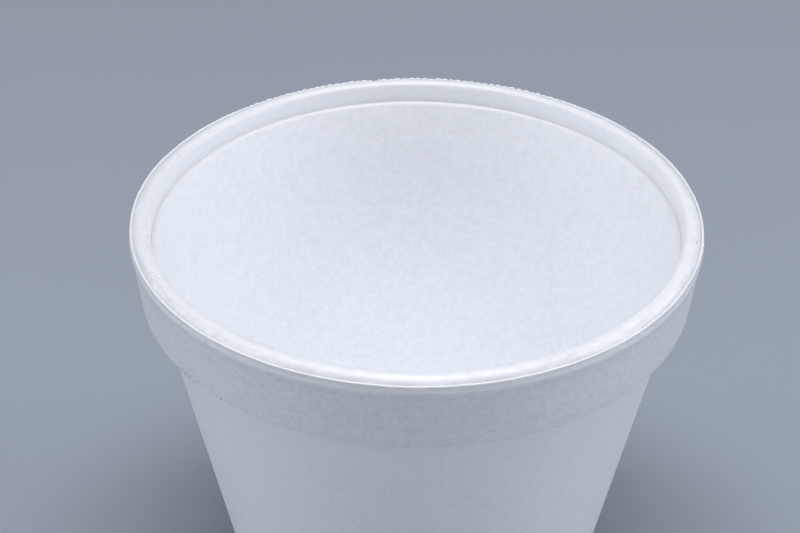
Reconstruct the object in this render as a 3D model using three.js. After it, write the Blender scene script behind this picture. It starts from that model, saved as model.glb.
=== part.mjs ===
// A foam cup, moulded from white foam beads as one piece.
// Millimetres, +Z up. The origin is the middle of the foot, on the surface
// that the cup stands on.
//
// The cup is one turned form: a shallow recess under the foot, a wall that
// leans out, a thick collar round the top, a narrow strip above the collar,
// a thin fin where the two halves of the mould met, a domed lip inside that
// fin, and a small ledge inside the lip where the inner wall begins.

import * as THREE from 'three';

// ---- driving dimensions -------------------------------------------------

const HEIGHT = 75.0;            // foot to the crest of the lip
const RIM_R = 46.0;             // outside of the fin round the rim
const SEGMENTS = 80;            // facets round the cup

// rim
const FIN_TOP = 74.36;          // height of the fin's flat top
const FIN_T = 0.32;             // thickness of the fin
const GROOVE_R = 45.48;         // fine groove between the fin and the lip
const GROOVE_Z = FIN_TOP - 0.4;
const LIP_CREST_R = 43.65;      // radius of the highest line of the lip
const LEDGE_Z = FIN_TOP - 2.86; // small ledge under the lip, inside
const LEDGE_OUT_R = 42.68;      // crease between the lip's inner face and the ledge
const LEDGE_R = 41.96;          // where the inner wall begins, under the ledge

// strip under the fin, and the collar
const STRIP_R = 46.12;
const STRIP_Z = FIN_TOP - 1.33; // lower edge of the strip
const COLLAR_TOP_R = 45.9;
const COLLAR_BOTTOM_R = 44.63;
const COLLAR_Z = FIN_TOP - 12.28; // underside of the collar
const COLLAR_CORNER = 0.55;     // rounding of the collar's lower edge

// wall and foot
const TAPER = 0.212;            // how far the wall leans out for each mm of height
const WALL_OUT_R = 42.15;       // outer wall just under the collar
const FLOOR_Z = 4.4;            // top of the floor inside
const FLOOR_FILLET = 3.0;       // rounding between the floor and the inner wall
const RECESS = 2.0;             // depth of the recess under the foot
const RECESS_R = 23.4;
const FOOT_IN_R = 24.7;         // the flat ring that the cup stands on
const FOOT_OUT_R = 28.3;

const outerWall = (z) => WALL_OUT_R - TAPER * (COLLAR_Z - z);
const innerWall = (z) => LEDGE_R - TAPER * (LEDGE_Z - 0.64 - z);

// ---- section ------------------------------------------------------------

const section = [];
const at = (r, z) => section.push(new THREE.Vector2(r, z));

// Points of a rounded corner, from point a to point b, bulging to corner c.
function round(a, c, b, steps) {
  for (let i = 0; i <= steps; i++) {
    const t = i / steps;
    const u = 1 - t;
    at(u * u * a[0] + 2 * u * t * c[0] + t * t * b[0],
       u * u * a[1] + 2 * u * t * c[1] + t * t * b[1]);
  }
}

// under the foot, from the axis outwards
at(0, RECESS);
round([RECESS_R - 0.7, RECESS], [RECESS_R + 0.2, RECESS], [RECESS_R + 0.6, RECESS - 0.8], 2);
at(FOOT_IN_R, 0);
round([FOOT_OUT_R, 0], [outerWall(0), 0], [outerWall(1.0), 1.0], 3);

// outer wall, up to the underside of the collar
round([outerWall(COLLAR_Z - 0.45), COLLAR_Z - 0.45], [WALL_OUT_R, COLLAR_Z],
      [WALL_OUT_R + 0.45, COLLAR_Z], 2);
round([COLLAR_BOTTOM_R - COLLAR_CORNER, COLLAR_Z], [COLLAR_BOTTOM_R, COLLAR_Z],
      [COLLAR_BOTTOM_R + 0.05, COLLAR_Z + COLLAR_CORNER], 3);

// collar, then the blend out to the strip
at(COLLAR_TOP_R, STRIP_Z - 0.6);
at(STRIP_R - 0.15, STRIP_Z - 0.15);
at(STRIP_R, STRIP_Z + 0.2);
at(STRIP_R, FIN_TOP - 0.2);

// fin, and the fine groove inside it
at(RIM_R, FIN_TOP);
at(RIM_R - FIN_T, FIN_TOP);
at(GROOVE_R, GROOVE_Z);

// lip: a low dome from the groove to a crest near its inner edge, which rounds
// over into a steep face
at(45.1, FIN_TOP + 0.02);
at(44.75, FIN_TOP + 0.29);
at(44.3, FIN_TOP + 0.51);
at(LIP_CREST_R, HEIGHT);
at(43.3, FIN_TOP + 0.6);
at(42.97, FIN_TOP + 0.45);
at(42.79, FIN_TOP + 0.2);
at(42.72, FIN_TOP - 0.25);

// ledge, rounded over into the inner wall
at(LEDGE_OUT_R, LEDGE_Z);
at(42.3, LEDGE_Z - 0.12);
at(42.05, LEDGE_Z - 0.34);
at(LEDGE_R, LEDGE_Z - 0.64);
round([innerWall(FLOOR_Z + FLOOR_FILLET), FLOOR_Z + FLOOR_FILLET],
      [innerWall(FLOOR_Z), FLOOR_Z],
      [innerWall(FLOOR_Z) - FLOOR_FILLET, FLOOR_Z], 4);
at(0, FLOOR_Z);

// ---- the solid ----------------------------------------------------------

// The lathe turns its section about Y, so the shape is stood up on +Z.
const shape = new THREE.LatheGeometry(section, SEGMENTS);
shape.rotateX(Math.PI / 2);

const foam = new THREE.MeshStandardMaterial({
  name: 'bead_foam',
  color: new THREE.Color(0.90, 0.92, 0.94),
  roughness: 0.55,
  metalness: 0.0,
});

const cup = new THREE.Mesh(shape, foam);
cup.name = 'foam_cup';

const object = new THREE.Group();
object.name = 'cup';
object.add(cup);

export default object;
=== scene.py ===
import math

import bpy
import numpy as np
from mathutils import Matrix, Vector


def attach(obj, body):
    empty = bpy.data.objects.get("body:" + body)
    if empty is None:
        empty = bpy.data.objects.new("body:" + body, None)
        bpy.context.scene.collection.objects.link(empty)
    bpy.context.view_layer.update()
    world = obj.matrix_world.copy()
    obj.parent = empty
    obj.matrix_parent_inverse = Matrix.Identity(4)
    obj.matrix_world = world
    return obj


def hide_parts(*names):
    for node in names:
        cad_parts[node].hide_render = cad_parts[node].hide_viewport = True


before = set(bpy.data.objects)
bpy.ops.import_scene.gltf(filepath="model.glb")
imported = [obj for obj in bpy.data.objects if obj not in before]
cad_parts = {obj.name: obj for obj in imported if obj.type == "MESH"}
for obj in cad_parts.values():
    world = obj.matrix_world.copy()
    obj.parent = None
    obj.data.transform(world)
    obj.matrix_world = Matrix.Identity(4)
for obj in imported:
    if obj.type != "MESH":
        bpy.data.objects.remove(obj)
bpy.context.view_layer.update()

# ------------------------------------------------------------------ sizes, mm
# Heights in the section are measured from the top of the fin.
RIM_R = 46.0
FIN_TOP = 74.36
FOOT = -FIN_TOP

STRIP_LOW = -1.33
COLLAR_LOW = -12.28
COLLAR_LOW_R = 44.63
WALL_R = 42.15
TAPER = 0.212
LEDGE = -2.95
LEDGE_R = 41.96
FLOOR = FOOT + 4.4


def wall_out(z):
    return WALL_R + TAPER * (z - COLLAR_LOW)


def wall_in(z):
    return LEDGE_R + TAPER * (z - LEDGE + 0.57)


# ------------------------------------------------------------------ noise round the cup
def ring_noise(theta, count, seed):
    """Smooth noise round the cup, from -1 to 1, with about count bumps a turn."""
    values = np.random.default_rng(seed).uniform(-1, 1, count)
    x = theta / (2 * np.pi) * count
    i = np.floor(x).astype(int)
    t = x - i
    t = t * t * (3 - 2 * t)
    return values[i % count] * (1 - t) + values[(i + 1) % count] * t


def sheet_noise(theta, z, count, step, seed):
    """Smooth noise on a wall, from -1 to 1: count bumps a turn, and one each step millimetres of height."""
    rng = np.random.default_rng(seed)
    rows = int(120 / step) + 3
    values = rng.uniform(-1, 1, (rows, count))
    x = theta / (2 * np.pi) * count
    i = np.floor(x).astype(int)
    t = x - i
    t = t * t * (3 - 2 * t)
    y = (z + 90.0) / step
    j = np.clip(np.floor(y).astype(int), 0, rows - 2)
    u = np.clip(y - j, 0, 1)
    u = u * u * (3 - 2 * u)
    a = values[j, i % count] * (1 - t) + values[j, (i + 1) % count] * t
    b = values[j + 1, i % count] * (1 - t) + values[j + 1, (i + 1) % count] * t
    return a * (1 - u) + b * u


def bump(theta, centre, half):
    """1 at an angle, falling to 0 at half degrees either side of it."""
    d = np.abs((np.degrees(theta) - centre + 180) % 360 - 180) / half
    return np.where(d < 1, 0.5 + 0.5 * np.cos(np.pi * np.clip(d, 0, 1)), 0.0)


def bead_row(theta, seed, low, high):
    """A row of fused beads: for each, a rounded hump from 0 to its size, and a notch between two."""
    rng = np.random.default_rng(seed)
    at, x = [], 0.0
    while x < 2 * np.pi:
        at.append(x)
        x += rng.uniform(low, high) / RIM_R
    at = np.array(at) * 2 * np.pi / x
    size = rng.uniform(0.72, 1.0, len(at))
    notch = rng.uniform(0.0, 0.32, len(at) + 1)
    k = np.searchsorted(at, theta, side="right") - 1
    left = at[k]
    right = np.where(k + 1 < len(at), at[(k + 1) % len(at)], 2 * np.pi)
    u = (theta - left) / (right - left) * 2 - 1
    low_end = np.where(u < 0, notch[k], notch[k + 1])
    hump = np.sqrt(np.clip(1 - np.abs(u) ** 2.6, 0, 1))
    return size[k] * (low_end + (1 - low_end) * hump)


# ------------------------------------------------------------------ rings
# Each ring is (number of points, radius, height, smoothness, outside, darkening): the darkening of its colour is
# mostly painted shade, with some random tone.
rings = []


def ring(n, r, z, smooth=0.0, outside=0.0, painted_shade_and_tone=0.0):
    th = np.arange(n) * 2 * np.pi / n
    rr = r(th) if callable(r) else np.full(n, float(r))
    zz = z(th) if callable(z) else np.full(n, float(z))
    dd = painted_shade_and_tone(th) if callable(painted_shade_and_tone) else np.full(n, float(painted_shade_and_tone))
    rings.append((n, rr, zz, np.full(n, float(smooth)), np.full(n, float(outside)), dd))


def curve(a, c, b, steps, first=True):
    out = []
    for i in range(0 if first else 1, steps + 1):
        t = i / steps
        u = 1 - t
        out.append((u * u * a[0] + 2 * u * t * c[0] + t * t * b[0],
                    u * u * a[1] + 2 * u * t * c[1] + t * t * b[1]))
    return out


def uneven(z, depth=0.035):
    """How far the wall stands out or in at height z, as a function of the angle."""
    return lambda th: depth * (0.6 * sheet_noise(th, np.full_like(th, z), 40, 7.0, 11)
                               + 0.4 * sheet_noise(th, np.full_like(th, z), 110, 2.6, 12))


N0, N1, N2 = 480, 960, 1920

# under the foot
RECESS = FOOT + 2.0
for r in (8.0, 16.0):
    ring(240, r, RECESS, 0.0, 1.0)
for r, z in curve((22.7, RECESS), (23.6, RECESS), (24.0, RECESS - 0.8), 3):
    ring(240, r, z, 0.2, 1.0)
ring(240, 24.55, FOOT + 0.14, 0.4, 1.0)
ring(480, 24.75, FOOT, 0.4, 1.0)
ring(480, 26.5, FOOT, 0.4, 1.0)
for r, z in curve((28.2, FOOT), (wall_out(FOOT), FOOT), (wall_out(FOOT + 1.1), FOOT + 1.1), 4):
    ring(480, r, z, 0.3, 1.0)

# outer wall
top = COLLAR_LOW - 0.55
for i, z in enumerate(np.linspace(FOOT + 3.2, top - 1.2, 16)):
    w = uneven(z)
    ring(N0, lambda th, z=z, w=w: wall_out(z) + w(th), z, 0.0, 1.0)
w = uneven(top)
ring(N1, lambda th: wall_out(top) + w(th), top, 0.0, 1.0)
for r, z in curve((wall_out(top), top), (WALL_R, COLLAR_LOW), (WALL_R + 0.5, COLLAR_LOW), 3, first=False):
    ring(N1, r, z, 0.0, 1.0)


# collar: its lower edge is a little ragged, and crumbled for a short way at the left
CRUMB = 221.0


def ragged(th):
    crumb = bump(th, CRUMB, 13)
    fine = ring_noise(th, 300, 21)
    coarse = ring_noise(th, 75, 22)
    return (0.03 * fine + 0.02 * coarse) * (1 - 0.6 * crumb) + crumb * (0.13 * ring_noise(th, 330, 23) - 0.04)


def crumb_gap_shade(th, seed, depth=0.6):
    """Painted shade in the gaps between the beads of the crumbled part of the edge."""
    return depth * bump(th, CRUMB, 12) * np.clip(1.6 * ring_noise(th, 400, seed) - 0.35, 0, 1)


# The collar's rings are darkened a little (0.068): painted shade that makes the collar darker than the wall below. The
# two rings at its lower edge get a dark line of painted shade in the gap, fainter at the front, and a short streak at
# 224.6 degrees is made paler: painted light on the burr.
ring(N1, 43.5, COLLAR_LOW, 0.0, 1.0, 0.068)
for k, (r, z) in enumerate(curve((44.1, COLLAR_LOW), (COLLAR_LOW_R + 0.02, COLLAR_LOW), (COLLAR_LOW_R + 0.06, COLLAR_LOW + 0.45), 4)):
    s = (0.2, 0.8, 1.0, 0.8, 0.4)[k]
    ring(N1, lambda th, r=r, s=s: r - s * np.abs(ragged(th)) * 0.9 + (0.17 * bump(th, 224.6, 1.7) if k in (2, 3) else 0.0),
         lambda th, z=z, s=s: z + s * ragged(th) - (0.06 * bump(th, 224.6, 1.7) if k in (2, 3) else 0.0), 0.0, 1.0,
         lambda th, k=k, s=s: 0.068 + s * crumb_gap_shade(th, 60 + k) + ((0.14 - 0.10 * bump(th, 268, 24)) * (k in (1, 2))) - (0.05 * bump(th, 224.6, 1.7) if k > 1 else 0.0))
zt = -2.9
for i, z in enumerate(np.linspace(COLLAR_LOW + 1.1, zt, 8)):
    w = uneven(z, 0.03)
    f = (z - COLLAR_LOW) / (zt - COLLAR_LOW)
    pock = (0.10 if i == 0 else 0.0)
    ring(N1, lambda th, f=f, w=w, pock=pock: COLLAR_LOW_R + 0.06 + (45.765 - COLLAR_LOW_R - 0.06) * f + w(th)
         - pock * bump(th, CRUMB, 12) * np.clip(ring_noise(th, 360, 25), 0, 1), z, 0.0, 1.0,
         0.068)


# strip under the fin: it blends into the collar along an uneven line that follows the beads
def hem(th):
    return 0.09 * ring_noise(th, 190, 31) + 0.08 * ring_noise(th, 83, 32) + 0.10 * ring_noise(th, 29, 33)


def knobs(th, z, depth=0.022):
    return depth * sheet_noise(th, np.full_like(th, z), 420, 0.45, 37)


def flecks(th, seed):
    return 0.012 + 0.022 * ring_noise(th, 430, seed) + 0.012 * ring_noise(th, 140, seed + 1)


# The rings where the strip meets the collar are darkened (0.085, 0.065): painted shade under the strip's lower edge.
# The rings just under the fin are darkened (0.045, 0.17): painted shade under the fin. The flecks are random tone.
w = uneven(-2.4, 0.03)
ring(N1, lambda th: 45.85 + w(th), -2.45, 0.0, 1.0, 0.085)
ring(N2, lambda th: 45.955 + 0.008 * ring_noise(th, 130, 38), lambda th: -2.0 + 0.4 * hem(th), 0.0, 1.0, 0.065)
ring(N2, lambda th: 46.02 + knobs(th, -1.6, 0.010), lambda th: STRIP_LOW - 0.35 + 0.9 * hem(th), 0.1, 1.0, 0.04)
ring(N2, lambda th: 46.07 + knobs(th, -1.45, 0.012), lambda th: STRIP_LOW - 0.20 + hem(th), 0.2, 1.0, lambda th: 0.01 + flecks(th, 81))
ring(N2, lambda th: 46.098 + knobs(th, -1.25, 0.012), lambda th: STRIP_LOW - 0.06 + hem(th), 0.3, 1.0, lambda th: flecks(th, 83))
ring(N2, lambda th: 46.06 + knobs(th, -0.95, 0.018), lambda th: -1.02 + 0.5 * hem(th), 0.3, 1.0, lambda th: flecks(th, 85))
ring(N2, lambda th: 46.02 + knobs(th, -0.6, 0.018), lambda th: -0.66 + 0.2 * hem(th), 0.3, 1.0, lambda th: 0.045 + flecks(th, 87))
ring(N2, 45.99, -0.37, 0.3, 1.0, 0.17)


# fin: nearly straight round the near half, and a row of beads along the far side
def far_side(th):
    away = np.abs((np.degrees(th) - 95 + 180) % 360 - 180)
    t = np.clip((58 - away) / 36, 0, 1)
    return t * t * (3 - 2 * t)


def gap(th):
    """Where a bead of the row is missing."""
    return np.clip(1.6 * bump(th, 99.7, 1.15), 0, 1)


def fin(th):
    far = far_side(th)
    beads = bead_row(th, 41, 1.0, 1.42)
    plain = 0.03 * ring_noise(th, 260, 42) + 0.03 * ring_noise(th, 47, 43) - 0.02
    return (1 - far) * plain + far * (-0.38 + 0.44 * beads) - 0.3 * gap(th)


def fin_out(th):
    far = far_side(th)
    burr = bump(th, -9.3, 0.9) + bump(th, -12.3, 0.9) + bump(th, -15.5, 0.8) + 0.8 * bump(th, 172.3, 1.0)
    return (0.028 * ring_noise(th, 210, 44) + 0.02 * ring_noise(th, 36, 45) - 0.02
            - far * 0.16 * (1 - bead_row(th, 41, 1.0, 1.42)) - 0.1 * gap(th) + 0.12 * burr)


# The fin's top is darkened slightly, its sides more (0.15, 0.17) and the groove between fin and lip most (0.37):
# painted shade in the groove.
ring(N2, lambda th: 45.975 + 0.5 * fin_out(th), lambda th: -0.20 + 0.5 * fin(th), 0.5, 0.6, 0.15)
ring(N2, lambda th: 45.95 + fin_out(th), lambda th: fin(th) - 0.06, 0.7, 0.0, 0.07)
ring(N2, lambda th: 45.89 + fin_out(th), lambda th: fin(th), 0.7, 0.0, 0.07)
ring(N2, lambda th: 45.74 + 0.3 * fin_out(th), lambda th: fin(th) + 0.005, 0.7, 0.0, 0.08)
ring(N2, lambda th: 45.665 + 0.01 * ring_noise(th, 300, 46), lambda th: 0.8 * fin(th) - 0.07, 0.7, 0.0, 0.17)
ring(N2, 45.59, -0.36, 0.7, 0.0, 0.37)
ring(N2, 45.50, -0.43, 0.7, 0.0, 0.37)

# lip: the third number of each point darkens its colour, most near the groove and at the inner shoulder and least at
# the crest: painted shade for how the light falls on the slopes. The vertical inner face is made a touch paler:
# painted light.
LIP = [(45.39, -0.34, 0.26), (45.27, -0.15, 0.235), (45.12, 0.01, 0.215), (44.94, 0.165, 0.20), (44.75, 0.295, 0.205),
       (44.55, 0.405, 0.19), (44.30, 0.51, 0.17), (44.05, 0.58, 0.155), (43.80, 0.62, 0.145), (43.55, 0.62, 0.155),
       (43.30, 0.585, 0.17), (43.12, 0.525, 0.185), (42.97, 0.44, 0.18), (42.86, 0.33, 0.13), (42.79, 0.18, 0.07),
       (42.745, -0.02, 0.01), (42.72, -0.30, -0.02), (42.705, -0.75, -0.02)]


def streaks(th, r):
    """Fine streaks across the lip, and paler and darker patches near the fin."""
    at = np.full_like(th, 4.0 * r - 180.0)
    near_fin = float(np.clip((r - 43.9) / 0.7, 0, 1))
    lip = float(np.clip((r - 42.9) / 0.3, 0, 1))
    return (lip * 0.024 * sheet_noise(th, 0.5 * at, 520, 1.0, 91) + lip * 0.018 * sheet_noise(th, 0.4 * at, 190, 1.0, 92)
            + near_fin * (0.050 * sheet_noise(th, at, 230, 0.9, 93) + 0.055 * sheet_noise(th, at, 74, 1.6, 94)))


def lip_shade(th, r):
    """Painted light and shade round the lip: its outer half is paler away from the front and towards the right front,
    and its inner half darker at the left.
    """
    half = float(np.clip((r - 44.0) / 0.4, 0, 1))
    inner = (1 - half) * float(np.clip((r - 43.0) / 0.3, 0, 1))
    return (half * (-0.03 * (1 - bump(th, 268, 60)) - 0.03 * bump(th, 345, 75)) + inner * 0.035 * bump(th, 190, 60))


for r, z, painted_shade_and_tone in LIP:
    near_fin = np.clip((r - 44.3) / 0.8, 0, 1)
    ring(N1, lambda th, r=r: r + 0.012 * ring_noise(th, 150, 51),
         lambda th, z=z, k=near_fin: z + 0.008 * ring_noise(th, 90, 52) + 0.03 * k * ring_noise(th, 210, 56) + 0.02 * k * ring_noise(th, 57, 57),
         0.9 if z > 0 else 0.6, 0.0, lambda th, r=r, d=painted_shade_and_tone: d + streaks(th, r) + lip_shade(th, r))
ring(N1, 42.70, -1.7, 0.4, 0.0, -0.02)
# ledge, rounded over into the inner wall; its rings are darkened, most at the crease: painted shade in the crease
ring(N1, lambda th: 42.69 + 0.015 * ring_noise(th, 200, 53), LEDGE + 0.13, 0.5, 0.0, 0.10)
ring(N1, lambda th: 42.67 + 0.015 * ring_noise(th, 200, 53), LEDGE, 0.6, 0.0, 0.28)
ring(N1, 42.50, LEDGE - 0.05, 0.8, 0.0, 0.22)
ring(N1, lambda th: 42.32 + 0.02 * ring_noise(th, 260, 58), LEDGE - 0.12, 0.8, 0.0, 0.19)
ring(N1, lambda th: 42.16 + 0.02 * ring_noise(th, 180, 55), lambda th: LEDGE - 0.23 + 0.02 * ring_noise(th, 160, 54), 0.6, 0.0, 0.20)
ring(N1, 42.04, LEDGE - 0.38, 0.4, 0.0, 0.12)
ring(N1, LEDGE_R, LEDGE - 0.60, 0.2, 0.0, 0.04)

# inner wall and floor
for z in np.linspace(LEDGE - 1.4, FLOOR + 3.4, 18):
    w = uneven(z, 0.03)
    ring(N0, lambda th, z=z, w=w: wall_in(z) - w(th), z)
for r, z in curve((wall_in(FLOOR + 3.0), FLOOR + 3.0), (wall_in(FLOOR), FLOOR), (wall_in(FLOOR) - 3.0, FLOOR), 5):
    ring(N0, r, z)
for r in (20.0, 12.0):
    ring(240, r, FLOOR)

# ------------------------------------------------------------------ mesh
verts, smooth, outer, painted_shade_and_tone, start = [], [], [], [], []
for n, r, z, s, o, d in rings:
    th = np.arange(n) * 2 * np.pi / n
    start.append(sum(len(v) for v in verts))
    verts.append(np.stack([r * np.cos(th), r * np.sin(th), z + FIN_TOP], 1))
    smooth.append(s)
    outer.append(o)
    painted_shade_and_tone.append(d)
faces = []
for a in range(len(rings) - 1):
    n, m = rings[a][0], rings[a + 1][0]
    p, q = start[a], start[a + 1]
    if n == m:
        i = np.arange(n)
        j = (i + 1) % n
        faces += np.stack([p + i, p + j, q + j, q + i], 1).tolist()
    elif m == 2 * n:
        for i in range(n):
            j = (i + 1) % n
            faces += [[p + i, q + 2 * i + 1, q + 2 * i], [p + i, p + j, q + 2 * i + 1], [p + j, q + (2 * i + 2) % m, q + 2 * i + 1]]
    elif n == 2 * m:
        for i in range(m):
            j = (i + 1) % m
            faces += [[p + 2 * i, p + 2 * i + 1, q + i], [p + 2 * i + 1, q + j, q + i], [p + 2 * i + 1, p + (2 * i + 2) % n, q + j]]
    else:
        raise ValueError((n, m))
total = sum(len(v) for v in verts)
verts.append(np.array([[0, 0, RECESS + FIN_TOP], [0, 0, FLOOR + FIN_TOP]]))
smooth.append(np.zeros(2))
outer.append(np.array([1.0, 0.0]))
painted_shade_and_tone.append(np.zeros(2))
n = rings[0][0]
faces += [[total, (i + 1) % n, i] for i in range(n)]
n, q = rings[-1][0], start[-1]
faces += [[total + 1, q + i, q + (i + 1) % n] for i in range(n)]
co = np.concatenate(verts) / 1000.0

mesh = bpy.data.meshes.new("bead_foam_cup")
mesh.from_pydata(co.tolist(), [], faces)
mesh.update()
mesh.shade_smooth()
for name, values in (("skin", smooth), ("outer", outer), ("painted_shade_and_tone", painted_shade_and_tone)):
    layer = mesh.attributes.new(name, "FLOAT", "POINT")
    layer.data.foreach_set("value", np.concatenate(values).astype(np.float32))
cup = bpy.data.objects.new("bead_foam_cup", mesh)
bpy.context.scene.collection.objects.link(cup)
triangles = sum(len(f) - 2 for f in faces)
print("cup triangles", triangles)


# ------------------------------------------------------------------ materials
# x, y, height from the fin's top, radius and strength of each small mark
SPECKS = [(36.89, 18.59, -5.95, 0.24, 0.8), (37.76, 16.67, -6.14, 0.20, 0.55), (44.25, -7.48, 0.20, 0.20, 0.85),
          (-1.12, -44.7, -12.06, 0.20, 0.6), (-3.32, -45.17, -6.99, 0.17, 0.45), (-29.2, -33.76, -12.02, 0.34, 1.1),
          (-35.9, -26.6, -11.75, 0.32, 0.7), (-35.2, -27.5, -12.0, 0.34, 0.9), (-34.5, -28.3, -11.8, 0.30, 0.7), (-33.6, -29.4, -12.0, 0.32, 0.8),
          (-36.5, -25.8, -11.9, 0.34, 0.8), (-37.0, -25.0, -11.7, 0.30, 0.6), (-32.9, -30.2, -12.05, 0.30, 0.6), (-35.6, -27.0, -11.35, 0.24, 0.4)]
# x, y and height of each centre, and its radius: only the far half of each ring is there
KNITS = [(-41.78, -19.90, 0.35, 2.51), (-41.64, -21.18, 0.35, 2.85), (-40.99, -20.85, 0.35, 1.69)]


class Nodes:
    """Short ways to build a material's nodes."""

    def __init__(self, name):
        self.mat = bpy.data.materials.new(name)
        self.mat.use_nodes = True
        self.tree = self.mat.node_tree
        self.bsdf = self.tree.nodes["Principled BSDF"]

    def put(self, kind, **inputs):
        node = self.tree.nodes.new(kind)
        for key, value in inputs.items():
            if key in node.bl_rna.properties:
                setattr(node, key, value)
        return node

    def link(self, a, b):
        self.tree.links.new(a, b)

    def math(self, op, a, b=None, c=None, clamp=False):
        node = self.put("ShaderNodeMath", operation=op, use_clamp=clamp)
        for i, v in enumerate((a, b, c)):
            if v is None:
                continue
            if isinstance(v, (int, float)):
                node.inputs[i].default_value = v
            else:
                self.link(v, node.inputs[i])
        return node.outputs[0]

    def ramp(self, value, lo, hi, to_lo=0.0, to_hi=1.0, smooth=True):
        node = self.put("ShaderNodeMapRange", interpolation_type="SMOOTHSTEP" if smooth else "LINEAR")
        self.link(value, node.inputs["Value"])
        for key, v in (("From Min", lo), ("From Max", hi), ("To Min", to_lo), ("To Max", to_hi)):
            if isinstance(v, (int, float)):
                node.inputs[key].default_value = v
            else:
                self.link(v, node.inputs[key])
        return node.outputs[0]

    def noise(self, vector, scale, detail=2.0, rough=0.5):
        node = self.put("ShaderNodeTexNoise", noise_dimensions="3D")
        self.link(vector, node.inputs["Vector"])
        node.inputs["Scale"].default_value = scale
        node.inputs["Detail"].default_value = detail
        node.inputs["Roughness"].default_value = rough
        return node

    def voronoi(self, vector, scale, feature, randomness=1.0, smoothness=None):
        node = self.put("ShaderNodeTexVoronoi", voronoi_dimensions="3D", feature=feature)
        self.link(vector, node.inputs["Vector"])
        node.inputs["Scale"].default_value = scale
        node.inputs["Randomness"].default_value = randomness
        return node


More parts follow.
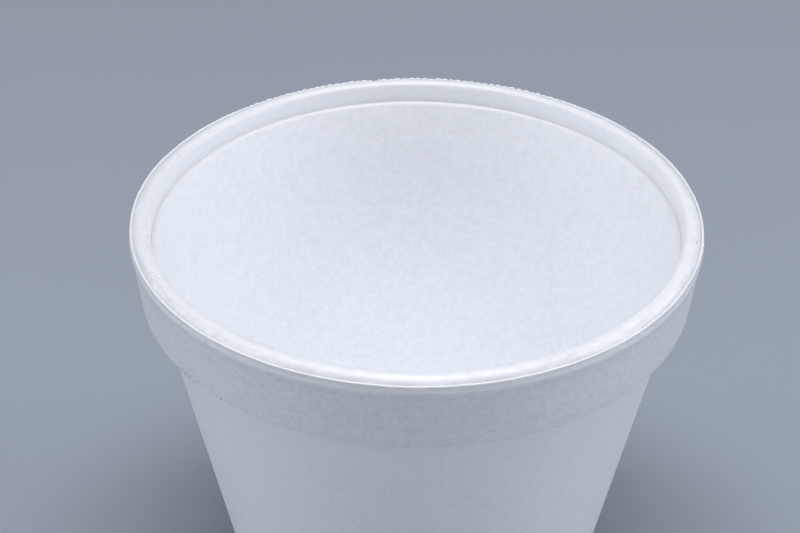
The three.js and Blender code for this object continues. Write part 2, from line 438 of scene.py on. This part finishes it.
def foam():
    m = Nodes("bead_foam")
    where = m.put("ShaderNodeTexCoord").outputs["Object"]
    mm = m.put("ShaderNodeVectorMath", operation="SCALE")
    m.link(where, mm.inputs[0])
    mm.inputs["Scale"].default_value = 1000.0
    mm = mm.outputs[0]
    skin = m.put("ShaderNodeAttribute", attribute_name="skin").outputs["Fac"]
    outer = m.put("ShaderNodeAttribute", attribute_name="outer").outputs["Fac"]
    painted_shade_and_tone_fac = m.put("ShaderNodeAttribute", attribute_name="painted_shade_and_tone").outputs["Fac"]
    bare = m.math("SUBTRACT", 1.0, m.math("MULTIPLY", skin, 0.75))

    # beads pressed into each other, with outlines that wander a little
    warp = m.noise(mm, 0.7, 2.0)
    bend = m.put("ShaderNodeVectorMath", operation="MULTIPLY_ADD")
    m.link(warp.outputs["Color"], bend.inputs[0])
    bend.inputs[1].default_value = (0.6, 0.6, 0.6)
    m.link(mm, bend.inputs[2])
    cell = m.voronoi(bend.outputs[0], 0.95, "F1", 0.95)
    dist = cell.outputs["Distance"]
    split = m.put("ShaderNodeSeparateColor")
    m.link(cell.outputs["Color"], split.inputs[0])
    one, two = split.outputs[0], split.outputs[1]
    rim = m.ramp(dist, 0.30, 0.66)
    grain = m.noise(mm, 3.0, 3.0, 0.65).outputs["Fac"]
    patch = m.noise(mm, 0.33, 2.0, 0.5).outputs["Fac"]
    cloud = m.noise(mm, 0.07, 3.0, 0.55).outputs["Fac"]

    # small pits where three beads meet and didn't quite close
    pit_cell = m.voronoi(mm, 0.30, "F1", 1.0)
    pit_split = m.put("ShaderNodeSeparateColor")
    m.link(pit_cell.outputs["Color"], pit_split.inputs[0])
    pit = m.math("MULTIPLY", m.ramp(pit_cell.outputs["Distance"], 0.02, 0.075, 1.0, 0.0), m.ramp(pit_split.outputs[0], 0.5, 0.95))
    pit = m.math("MULTIPLY", pit, bare)

    # marks that this cup has: tiny dark specks, a pit on the lip, a nick under the collar, and dark dots along the
    # crumbled part of the collar's edge, which are painted shade in its gaps
    marks = None
    for x, y, z, radius, depth in SPECKS:
        away = m.put("ShaderNodeVectorMath", operation="DISTANCE")
        m.link(mm, away.inputs[0])
        away.inputs[1].default_value = (x, y, z + FIN_TOP)
        one_mark = m.ramp(away.outputs["Value"], radius * 0.4, radius, depth, 0.0)
        marks = one_mark if marks is None else m.math("ADD", marks, one_mark)

    # knit marks across the lip: a few fine curved ripples where the foam's fronts met
    place = m.put("ShaderNodeSeparateXYZ")
    m.link(mm, place.inputs[0])
    ripple = None
    for x, y, z, radius in KNITS:
        away = m.put("ShaderNodeVectorMath", operation="DISTANCE")
        m.link(mm, away.inputs[0])
        away.inputs[1].default_value = (x, y, z + FIN_TOP)
        off = m.math("SUBTRACT", away.outputs["Value"], radius)
        light = m.ramp(m.math("ABSOLUTE", off), 0.0, 0.17, 1.0, 0.0)
        dark = m.ramp(m.math("ABSOLUTE", m.math("ADD", off, 0.30)), 0.0, 0.20, 0.9, 0.0)
        line = m.math("MULTIPLY", m.math("SUBTRACT", light, dark), m.ramp(place.outputs[1], y + 0.1, y + 0.7))
        ripple = line if ripple is None else m.math("ADD", ripple, line)

    # relief in millimetres
    h = m.math("MULTIPLY", m.math("MULTIPLY", dist, dist), -0.011)
    h = m.math("ADD", h, m.math("MULTIPLY", two, 0.006))
    h = m.math("ADD", h, m.math("MULTIPLY", grain, 0.010))
    h = m.math("MULTIPLY", h, bare)
    h = m.math("ADD", h, m.math("MULTIPLY", patch, 0.012))
    h = m.math("ADD", h, m.math("MULTIPLY", pit, -0.035))
    h = m.math("ADD", h, m.math("MULTIPLY", marks, -0.08))
    h = m.math("ADD", h, m.math("MULTIPLY", m.math("MULTIPLY", ripple, skin), 0.028))
    relief = m.put("ShaderNodeBump")
    relief.inputs["Strength"].default_value = 1.0
    relief.inputs["Distance"].default_value = 0.001
    m.link(h, relief.inputs["Height"])
    m.link(relief.outputs["Normal"], m.bsdf.inputs["Normal"])

    # colour: inside, pale beads with slightly darker outlines, painted shade in the grooves between beads; outside,
    # the outlines are the paler part, painted light shining through the thinner foam at the joins
    inside = m.math("ADD", m.math("MULTIPLY", m.math("SUBTRACT", one, 0.5), 0.032), m.math("MULTIPLY", rim, -0.030))
    out = m.math("ADD", m.math("MULTIPLY", m.math("SUBTRACT", one, 0.5), 0.044), m.math("MULTIPLY", rim, 0.030))
    tone = m.math("ADD", m.math("MULTIPLY", inside, m.math("SUBTRACT", 1.0, outer)), m.math("MULTIPLY", out, outer))
    tone = m.math("ADD", tone, m.math("MULTIPLY", m.math("SUBTRACT", grain, 0.5), m.math("ADD", m.math("MULTIPLY", outer, 0.25), 0.155)))
    tone = m.math("MULTIPLY", tone, bare)
    tone = m.math("ADD", tone, m.math("MULTIPLY", m.math("SUBTRACT", patch, 0.5), 0.03))
    tone = m.math("ADD", tone, m.math("MULTIPLY", m.math("SUBTRACT", cloud, 0.5), 0.02))
    tone = m.math("ADD", tone, m.math("MULTIPLY", pit, -0.10))
    tone = m.math("ADD", tone, m.math("MULTIPLY", marks, -0.60))
    tone = m.math("ADD", tone, m.math("MULTIPLY", m.math("MULTIPLY", ripple, skin), 0.07))
    # the rings' darkening, mostly painted shade with some random tone, is taken off the colour here
    level = m.math("MINIMUM", m.math("ADD", m.math("SUBTRACT", tone, painted_shade_and_tone_fac), 1.0), 1.025)
    colour = m.put("ShaderNodeVectorMath", operation="SCALE")
    colour.inputs[0].default_value = (0.940, 0.955, 0.972)
    m.link(level, colour.inputs["Scale"])
    m.link(colour.outputs[0], m.bsdf.inputs["Base Color"])
    rough = m.math("ADD", m.math("MULTIPLY", one, 0.08), 0.42)
    m.link(m.math("SUBTRACT", rough, m.math("MULTIPLY", skin, 0.08)), m.bsdf.inputs["Roughness"])
    m.link(m.math("ADD", m.math("MULTIPLY", skin, 0.36), 0.33), m.bsdf.inputs["Specular IOR Level"])
    m.bsdf.inputs["IOR"].default_value = 1.45
    return m.mat


def ground():
    m = Nodes("studio_floor")
    where = m.put("ShaderNodeTexCoord").outputs["Object"]
    fine = m.noise(where, 900.0, 2.0).outputs["Fac"]
    wide = m.noise(where, 6.0, 2.0).outputs["Fac"]
    level = m.math("ADD", m.math("MULTIPLY", fine, 0.03), m.math("MULTIPLY", wide, 0.03))
    level = m.math("ADD", level, 0.97)
    colour = m.put("ShaderNodeVectorMath", operation="SCALE")
    colour.inputs[0].default_value = (0.305, 0.338, 0.380)
    m.link(level, colour.inputs["Scale"])
    m.link(colour.outputs[0], m.bsdf.inputs["Base Color"])
    m.bsdf.inputs["Roughness"].default_value = 0.75
    return m.mat


mesh.materials.append(foam())
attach(cup, "root")
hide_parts("foam_cup")

floor_mesh = bpy.data.meshes.new("studio_floor")
ring_n = 96
rv = [(4.0 * math.cos(2 * math.pi * i / ring_n), 4.0 * math.sin(2 * math.pi * i / ring_n), 0.0) for i in range(ring_n)]
floor_mesh.from_pydata(rv, [], [list(range(ring_n))])
floor_mesh.materials.append(ground())
floor = bpy.data.objects.new("studio_floor", floor_mesh)
floor.location = (0, 0, -0.0001)
bpy.context.scene.collection.objects.link(floor)

# ------------------------------------------------------------------ light
scene = bpy.context.scene
scene.view_settings.view_transform = "Standard"
scene.view_settings.look = "None"
scene.view_settings.exposure = 0.0
scene.view_settings.gamma = 1.0
world = bpy.data.worlds.new("studio")
world.use_nodes = True
back = world.node_tree.nodes["Background"]
back.inputs["Color"].default_value = (0.93, 1.0, 1.09, 1.0)
back.inputs["Strength"].default_value = 0.02
scene.world = world


def area(name, at, look, size, power, colour=(1, 1, 1)):
    data = bpy.data.lights.new(name, "AREA")
    data.shape = "RECTANGLE"
    data.size, data.size_y = size
    data.energy = power
    data.color = colour
    obj = bpy.data.objects.new(name, data)
    obj.location = at
    obj.rotation_euler = (Vector(look) - Vector(at)).to_track_quat("-Z", "Y").to_euler()
    scene.collection.objects.link(obj)
    return obj


PALE = (0.976, 1.0, 1.062)
area("overhead", (0.0, 0.01, 0.94), (0.0, 0.0, 0.05), (0.6, 0.4), 6.2, PALE)
area("overhead_left", (-0.6, 0.04, 0.85), (0.0, 0.0, 0.05), (0.5, 0.5), 0.5, PALE)
area("overhead_right", (0.6, 0.04, 0.85), (0.0, 0.0, 0.05), (0.5, 0.5), 1.15, PALE)
area("left", (-1.0, 0.0, 0.36), (0.0, 0.0, 0.04), (0.7, 0.6), 3.1, PALE)
area("right", (1.0, 0.0, 0.36), (0.0, 0.0, 0.04), (0.7, 0.6), 3.25, PALE)
area("front_high", (0.0, -0.9, 0.82), (0.0, 0.0, 0.05), (1.4, 0.6), 2.1, PALE)
area("front_low", (0.0, -1.0, 0.16), (0.0, 0.0, 0.04), (0.9, 0.26), 0.94, PALE)

# ------------------------------------------------------------------ camera
# Focal length and place from the outlines of the rim, the collar and the wall in the photograph.
WIDE, HIGH = 800.0, 533.0
focal = 2143.3                       # in pixels of an 800 wide picture
far, tilt = 7.5 * RIM_R / 1000.0, 0.56395
u0, v0, roll = 416.127, 214.69, 0.01075
rim = np.array([0.0, 0.0, FIN_TOP / 1000.0])
place = np.array([0.0, -far * math.cos(tilt), far * math.sin(tilt)])
ahead = -place / np.linalg.norm(place)
right = np.array([1.0, 0.0, 0.0])
down = -np.cross(right, ahead)
basis = np.stack([right, down, ahead])
x, y = (u0 - (WIDE - 1) / 2) / focal, (v0 - (HIGH - 1) / 2) / focal
c, s = math.cos(roll), math.sin(roll)
aim = np.array([c * x + s * y, -s * x + c * y, 1.0])
aim /= np.linalg.norm(aim)
axis = np.cross([0, 0, 1.0], aim)
sine = np.linalg.norm(axis)
axis /= sine
k = np.array([[0, -axis[2], axis[1]], [axis[2], 0, -axis[0]], [-axis[1], axis[0], 0]])
turn = np.eye(3) + sine * k + (1 - aim[2]) * k @ k
basis = np.array([[c, -s, 0], [s, c, 0], [0, 0, 1.0]]) @ turn @ basis
m = Matrix.Identity(4)
for row in range(3):
    m[row][0], m[row][1], m[row][2], m[row][3] = basis[0][row], -basis[1][row], -basis[2][row], (place + rim)[row]
cam_data = bpy.data.cameras.new("camera")
cam_data.sensor_fit = "HORIZONTAL"
cam_data.sensor_width = 36.0
cam_data.lens = focal / WIDE * 36.0
cam_data.clip_start, cam_data.clip_end = 0.01, 50.0
cam = bpy.data.objects.new("camera", cam_data)
scene.collection.objects.link(cam)
cam.matrix_world = m
scene.camera = cam
